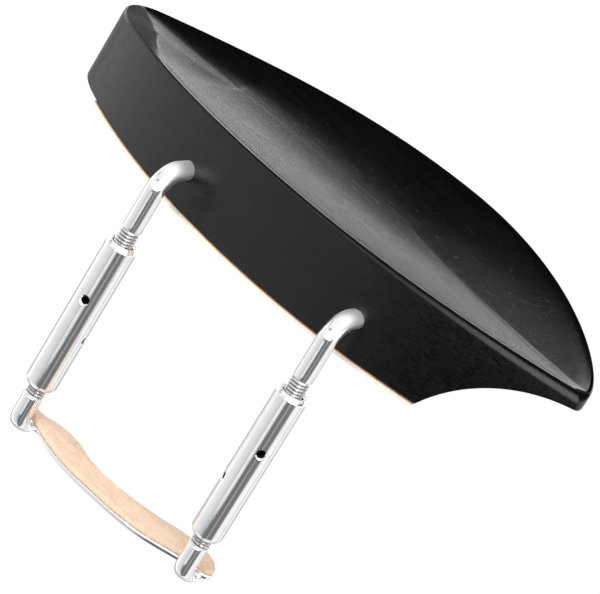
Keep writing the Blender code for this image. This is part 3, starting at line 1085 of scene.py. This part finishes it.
    def _rod(self, form: Form, name: str, body: str) -> Object:
        """Makes a hook or a stud of its mesh, and installs it.

        Args:
            form: The mesh.
            name: The CAD node that it stands for.
            body: The body that it moves with.

        Returns:
            The piece.
        """
        rod = form.object(f"{name}_rod", self.chrome[Grain.DRAWN])
        smooth(rod, 38)
        return install(rod, body, "chrome", name)

    def _oval(self, centre: Vector, out: Vector, half_x: float, half_up: float) -> list[Vector]:
        """Points of an oval ring of the stud's bend.

        Args:
            centre: Its centre.
            out: The direction from the bend's axis to the centre.
            half_x: Its half width along X.
            half_up: Its half thickness.

        Returns:
            One place for each vertex of a ring, from +X through the bend's inside.
        """
        turns = [math.tau * i / self.sides for i in range(self.sides)]
        across = Vector((1, 0, 0))
        return [centre + across * half_x * math.cos(a) - out * half_up * math.sin(a) for a in turns]

    def _barrel(self, name: str, x: float, turn: float) -> Object:
        """A turned sleeve with rounded shoulders and two countersunk tommy holes."""
        form = Form()
        bm = form.bm
        mid = self.barrel_top - self.barrel_length / 2
        half = self.barrel_length / 2
        outer = self.barrel_radius
        inner = self.rod_radius + self.clearance
        upper = [
            (inner, half - 1.2 * MM),
            (inner, half - 0.35 * MM),
            (inner + 0.3 * MM, half),
            (outer - self.shoulder, half),
            (outer, half - 0.95 * MM),
        ]
        profile = [*upper, *((radius, -z) for radius, z in reversed(upper)), (inner, 0.0)]
        corners = [bm.verts.new((radius, 0.0, z)) for radius, z in profile]
        edges = [bm.edges.new(pair) for pair in zip(corners, corners[1:] + corners[:1])]
        bmesh.ops.spin(
            bm,
            geom=corners + edges,
            axis=(0, 0, 1),
            angle=math.tau,
            steps=96,
            use_merge=True,
        )
        bmesh.ops.remove_doubles(bm, verts=bm.verts, dist=0.001 * MM)
        bmesh.ops.recalc_face_normals(bm, faces=bm.faces)
        bm.normal_update()
        shoulders = [
            e
            for e in bm.edges
            if e.is_manifold
            and e.calc_face_angle() > math.radians(20)
            and min(v.co.xy.length for v in e.verts) > outer - 1 * MM
            and abs(e.verts[0].co.z - e.verts[1].co.z) < 0.001 * MM
        ]
        bmesh.ops.bevel(
            bm,
            geom=shoulders,
            offset=0.28 * MM,
            offset_type="OFFSET",
            affect="EDGES",
            segments=4,
            profile=0.5,
            clamp_overlap=True,
            material=-1,
        )
        # Faces inside the bore get the bore finish, whose near-black colour is painted shade.
        for face in bm.faces:
            inside = face.calc_center_median().xy.length < inner + 0.05 * MM
            face.material_index = 1 if inside else 0
        bmesh.ops.translate(bm, verts=bm.verts, vec=(x, self.rod_y, mid))
        sleeve = form.object(f"{name}_sleeve", self.chrome[Grain.TURNED], self.bore)
        holes = []
        for index, (height, swing) in enumerate(((4.1 * MM, 0.0), (-4.1 * MM, 90.0))):
            holes += self._tommy(f"{name}_hole_{index}", x, mid + height, turn + swing)
        carve(sleeve, holes)
        smooth(sleeve, 30)
        return install(sleeve, f"barrel_{name[7]}", "chrome", name)

    def _tommy(self, name: str, x: float, z: float, turn: float) -> list[Object]:
        """The cutter of one tommy hole through a barrel.

        Args:
            name: The cutter's name.
            x: The barrel's place.
            z: The hole's height.
            turn: The hole's direction in plan, in degrees.

        Returns:
            The bore and the two countersinks, as cutters.
        """
        radius = 0.85 * MM
        narrow = radius * 0.9
        growth = 1.5 * MM / narrow
        deep = self.barrel_radius - 0.42 * MM
        across = Matrix.Rotation(math.radians(90), 4, "Y")
        lay = Matrix.Rotation(math.radians(turn), 4, "Z") @ across
        at = Matrix.Translation((x, self.rod_y, z)) @ lay
        # The hole's walls get the bore finish, painted near black as painted shade.
        cutters = [peg(name, radius, 40, -5 * MM, (10 * MM,), at, self.bore)]
        plating = self.chrome[Grain.TURNED]
        for side in (-1, 1):
            runs = (side * 0.8 * MM,)
            sink = f"{name}_sink_{side}"
            cutters.append(peg(sink, narrow, 40, side * deep, runs, at, plating, growth))
        return cutters

    def _anchors(self) -> list[Vector]:
        """The points that the clamp plate's outline passes through."""
        near = self.rod_y - self.plate_near
        far = near + self.plate_width
        beside = self.rod_y + self.stud_bend + 0.3 * MM
        rod = self.rod_x
        waist = (11.7 * MM, 1.0 * MM)
        right = ((3.5, 0.1), (2.1, 3.0), (-1.0, 4.6), (-6.0, 4.5), (-12.5, 2.1))
        left = ((16.2, 0.3), (10.7, 2.4), (6.1, 2.7), (2.2, 1.4), (-1.8, 0.1))
        points = [Vector((0.0, near)), Vector((rod - waist[0], near + waist[1]))]
        points.append(Vector((rod, beside)))
        points += [Vector((rod + x * MM, far + y * MM)) for x, y in right]
        points.append(Vector((1.5 * MM, far)))
        points += [Vector((-rod + x * MM, far + y * MM)) for x, y in left]
        points += [Vector((-rod, beside)), Vector((waist[0] - rod, near + waist[1]))]
        return points

    def _clamp_outline(self) -> list[Vector]:
        """The clamp plate's outline as a fine closed line."""
        curve = bpy.data.curves.new("clamp_line", "CURVE")
        curve.dimensions = "2D"
        curve.fill_mode = "NONE"
        curve.resolution_u = 20
        anchors = self._anchors()
        spline = curve.splines.new("BEZIER")
        spline.bezier_points.add(len(anchors) - 1)
        for knot, point in zip(spline.bezier_points, anchors):
            knot.co = point.to_3d()
            knot.handle_left_type = "AUTO"
            knot.handle_right_type = "AUTO"
        spline.use_cyclic_u = True
        line = bpy.data.objects.new("clamp_line", curve)
        bpy.context.scene.collection.objects.link(line)
        bpy.context.view_layer.update()
        graph = bpy.context.evaluated_depsgraph_get()
        data = bpy.data.meshes.new_from_object(line.evaluated_get(graph))
        points = [v.co.to_2d() for v in data.vertices]
        bpy.data.objects.remove(line, do_unlink=True)
        bpy.data.meshes.remove(data)
        if (points[0] - points[-1]).length < 0.001 * MM:
            points.pop()
        return points

    def _layer(
        self, outline: list[Vector], z: float, thickness: float, edge: float, wander: float
    ) -> Form:
        """One flat layer of the clamp with rounded edges.

        Args:
            outline: Its outline.
            z: Its lower side.
            thickness: Its thickness.
            edge: The radius of its edges.
            wander: How far its side wanders in and out.

        Returns:
            The layer's mesh.
        """
        form = Form()
        count = len(outline)
        ahead = [outline[(i + 1) % count] - outline[i - 1] for i in range(count)]
        inward = [Vector((-way.y, way.x)).normalized() for way in ahead]
        levels = [(edge, 0.0), (edge * 0.3, edge * 0.3), (0.0, edge)]
        levels += [(0.0, thickness / 2), (0.0, thickness - edge)]
        levels += [(edge * 0.3, thickness - edge * 0.3), (edge, thickness)]
        first: list[BMVert] = []
        ring: list[BMVert] = []
        for inset, height in levels:
            places = []
            for p, way in zip(outline, inward):
                spot = Vector((p.x, p.y, z + height)) / MM
                rough = wander * (0.5 + 0.5 * noise.noise(spot * 1.3))
                at = p + way * (inset + rough)
                places.append(Vector((at.x, at.y, z + height)))
            ring = form.grow_to(ring, places) if ring else form.start(places)
            first = first or ring
        form.close(first)
        form.close(ring)
        return form

    def build(self) -> list[Object]:
        """Makes the clamp's eight pieces, and returns the seven that are plated."""
        plated = []
        sides = (("left", -self.rod_x, -78.0), ("right", self.rod_x, -49.0))
        for side, x, turn in sides:
            plated.append(self._hook(f"hook_{side}", x, 1))
            plated.append(self._barrel(f"barrel_{side}", x, turn))
            plated.append(self._stud(f"stud_{side}", x, -1))
        outline = self._clamp_outline()
        plate_edge = 0.3 * MM
        cork_edge = 0.14 * MM
        form = self._layer(outline, self.plate_z, self.plate_t, plate_edge, 0.0)
        plate = form.object("clamp_plate_strip", self.chrome[Grain.STAMPED])
        smooth(plate, 40)
        plated.append(install(plate, "bracket", "chrome", "clamp_plate"))
        form = self._layer(outline, self.cork_z, self.cork_t, cork_edge, cork_edge)
        lining = form.object("clamp_cork_strip", self.cork)
        smooth(lining, 40)
        install(lining, "bracket", "cork", "clamp_cork")
        return plated


# ---------------------------------------------------------------- the studio


@dataclass
class Studio:
    """A white sweep under the object, soft lamps from the front left and above, and the camera.

    Gloss shows the room by its compass direction, in degrees from -Y towards +X.
    """

    floor_z: float = -0.45
    floor_radius: float = 14.0
    plain_light: float = 0.84
    overhead: float = 0.012
    heading: float = 23.55
    height: float = 21.56
    roll: float = 31.72
    distance: float = 0.7
    lens: float = 231.4
    target: tuple[float, float, float] = (14.67 * MM, -14.0 * MM, 7.46 * MM)
    brightest: float = 3.0
    horizon: float = 1.45
    floor_glow: tuple[tuple[float, float], ...] = (
        (-180, 0.5), (-157, 0.6), (-138, 0.5), (-106, 0.5), (-100, 1.35), (-82, 1.05), (-71, 0.92),
        (-60, 0.82), (-28, 0.68), (-10, 0.55), (4, 0.25), (13, 0.03), (40, 0.03), (47, 0.35),
        (54, 0.05), (76, 0.06), (88, 0.95), (118, 1.0), (126, 0.6), (136, 1.0), (152, 0.9),
        (166, 0.5), (180, 0.5),
    )
    front_glow: tuple[tuple[float, float], ...] = (
        (-180, 1.0), (-90, 0.9), (-30, 0.9), (-12, 1.1), (3, 1.4), (14, 1.6), (32, 3.0), (60, 3.0),
        (90, 1.5), (180, 1.0),
    )

    def _round(self, graph: Graph, source: str, glow: Sequence[tuple[float, float]]) -> list[Value]:
        """The brightness that gloss sees by compass direction.

        Args:
            graph: The graph of the floor's material or of the world.
            source: Which texture coordinate gives the direction.
            glow: The brightness at each direction.

        Returns:
            That brightness, the compass direction in radians, then x, y and z.
        """
        place = graph.node("ShaderNodeTexCoord", output=source)
        split = graph.node("ShaderNodeSeparateXYZ", inputs={0: place})
        x, y, z = (split.output(i) for i in range(3))
        turn = graph.node("ShaderNodeMath", {"operation": "ARCTAN2"}, {0: x, 1: 0.0 - y})
        stops = [((a + 180) / 360, level / self.brightest) for a, level in glow]
        level = graph.node("ShaderNodeValToRGB", {"stops": stops}, {0: turn / math.tau + 0.5})
        return [level * self.brightest, turn, x, y, z]

    def _floor(self) -> None:
        """The plain pale floor, which stays white to the camera and keeps a soft shadow."""
        form = Form()
        ring = form.circle(self.floor_radius, 64)
        bmesh.ops.translate(form.bm, verts=ring, vec=(0, 0, self.floor_z))
        form.close(ring)
        material = bpy.data.materials.new("floor")
        material.use_nodes = True
        graph = Graph(material.node_tree)
        level, _, x, y, _ = self._round(graph, "Object", self.floor_glow)
        away = (x * x + y * y) ** 0.5
        far = away.step(1.9, 2.5) * y.step(0.0, 0.6)
        shown = level * (1.0 - far) + self.horizon * far
        rays = graph.node("ShaderNodeLightPath", output="Is Camera Ray")
        mirrored = rays.output("Is Glossy Ray")
        glow = rays * 1.04 + (1.0 - rays) * mirrored * shown
        light = graph.node("ShaderNodeEmission", inputs={"Color": (1, 1, 1, 1), "Strength": glow})
        paint = graph.node("ShaderNodeBsdfDiffuse", inputs={"Color": (0.8, 0.8, 0.8, 1)})
        share = rays * 0.92 + (1.0 - rays) * mirrored
        both = graph.node("ShaderNodeMixShader", inputs={0: share, 1: paint, 2: light})
        graph.node("ShaderNodeOutputMaterial", inputs={"Surface": both})
        form.object("floor", material)

    def _world(self) -> None:
        """A pale surround near the horizon that darkens overhead in reflections."""
        world = bpy.data.worlds.new("studio")
        bpy.context.scene.world = world
        world.use_nodes = True
        graph = Graph(world.node_tree)
        level, turn, x, y, z = self._round(graph, "Generated", self.front_glow)
        # The glow reaches higher on the right, and behind the object on the far left.
        right = turn.step(-0.2, 0.35)
        front = level * (1.0 - (z - 0.5 * right).step(0.33, 0.55))
        lean = ((0.0 - x) / y).step(0.445, 0.53)
        rear = self.horizon * (1.0 - (z - 0.17 * lean).step(0.15, 0.32))
        side = y.step(-0.25, 0.05)
        shown = front * (1.0 - side) + rear * side + self.overhead
        rays = graph.node("ShaderNodeLightPath", output="Is Camera Ray")
        mirrored = rays.output("Is Glossy Ray")
        strength = rays + (1.0 - rays) * (mirrored * shown + (1.0 - mirrored) * self.plain_light)
        inputs = {"Color": (1, 1, 1, 1), "Strength": strength}
        back = graph.node("ShaderNodeBackground", inputs=inputs)
        graph.node("ShaderNodeOutputWorld", inputs={"Surface": back})

    def _lamp(
        self, name: str, way: Vector, reach: float, size: tuple[float, float], watts: float
    ) -> Object:
        """A soft box that faces the object.

        Args:
            name: The lamp's name.
            way: The direction that it stands in.
            reach: How far away it is.
            size: Its sides.
            watts: Its power.

        Returns:
            The lamp.
        """
        light = bpy.data.lights.new(name, "AREA")
        light.shape = "RECTANGLE"
        light.size, light.size_y = size
        light.energy = watts
        lamp = bpy.data.objects.new(name, light)
        lamp.location = Vector(self.target) + way.normalized() * reach
        lamp.rotation_euler = way.to_track_quat("Z", "Y").to_euler()
        lamp.visible_camera = False
        bpy.context.scene.collection.objects.link(lamp)
        return lamp

    def _lamps(self, plated: Iterable[Object]) -> None:
        """The lamps: two that shape the matt surfaces, and two that only the plating reflects.

        Args:
            plated: The plated pieces.
        """
        for name, way, reach, size, watts in (
            ("key", Vector((-0.39, -0.83, 0.41)), 1.2, (0.5, 0.5), 5.0),
            ("fill", Vector((0.33, -0.55, 0.77)), 1.1, (0.4, 0.4), 1.5),
        ):
            self._lamp(name, way, reach, size, watts).visible_glossy = False
        group = bpy.data.collections.new("plated")
        for piece in plated:
            group.objects.link(piece)
        for name, way, reach, size, watts in (
            ("panel", Vector((0.0, 0.1, 1.0)), 0.9, (3.2, 3.2), 29.0),
            ("strip", Vector((0.12, -0.92, -0.37)), 0.6, (0.2, 0.22), 0.09),
        ):
            lamp = self._lamp(name, way, reach, size, watts)
            lamp.light_linking.receiver_collection = group
            lamp.light_linking.blocker_collection = group

    def _camera(self) -> None:
        """The photograph's camera, rolled so that the object leans as it does there."""
        a, e, r = (math.radians(angle) for angle in (self.heading, self.height, self.roll))
        ahead = Vector((-math.sin(a) * math.cos(e), math.cos(a) * math.cos(e), -math.sin(e)))
        across = Vector((math.cos(a), math.sin(a), 0.0))
        upward = across.cross(ahead)
        right = math.cos(r) * across + math.sin(r) * upward
        top = math.cos(r) * upward - math.sin(r) * across
        data = bpy.data.cameras.new("camera")
        data.sensor_width = 36.0
        data.lens = self.lens
        data.clip_start = 0.01
        camera = bpy.data.objects.new("camera", data)
        turn = Matrix((right, top, -ahead)).transposed().to_4x4()
        camera.matrix_world = Matrix.Translation(Vector(self.target) - ahead * self.distance) @ turn
        bpy.context.scene.collection.objects.link(camera)
        bpy.context.scene.camera = camera

    def build(self, plated: Iterable[Object]) -> None:
        """Sets up the floor, the surround, the lamps, the camera and the view transform.

        Args:
            plated: The plated pieces.
        """
        self._floor()
        self._world()
        self._lamps(plated)
        self._camera()
        bpy.context.scene.view_settings.view_transform = "Standard"


def main() -> None:
    """Builds the chin rest piece by piece, then the studio."""
    logging.basicConfig(level=logging.INFO, format="%(name)s: %(message)s")
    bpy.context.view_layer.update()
    ebony = EbonyFinish().build()
    cork = CorkFinish().build()
    foot_cork = CorkFinish(
        "foot_cork",
        pale=(0.99, 0.90, 0.80),
        warm=(0.96, 0.80, 0.65),
        fleck=(0.70, 0.50, 0.36),
        glue_line=0.8 * MM,
    ).build()
    bore = BoreFinish().build()
    chrome = {grain: ChromeFinish(f"chrome_{grain.name.lower()}", grain).build() for grain in Grain}
    plan = Plan()
    plate = RestPlate(plan, ebony)
    clamp = ScrewClamp(plan, chrome, bore, cork)
    plate.build((-clamp.rod_x, clamp.rod_x), clamp.hook_height)
    FootCork(plate, foot_cork).build()
    Studio().build(clamp.build())


if __name__ == "__main__":
    main()
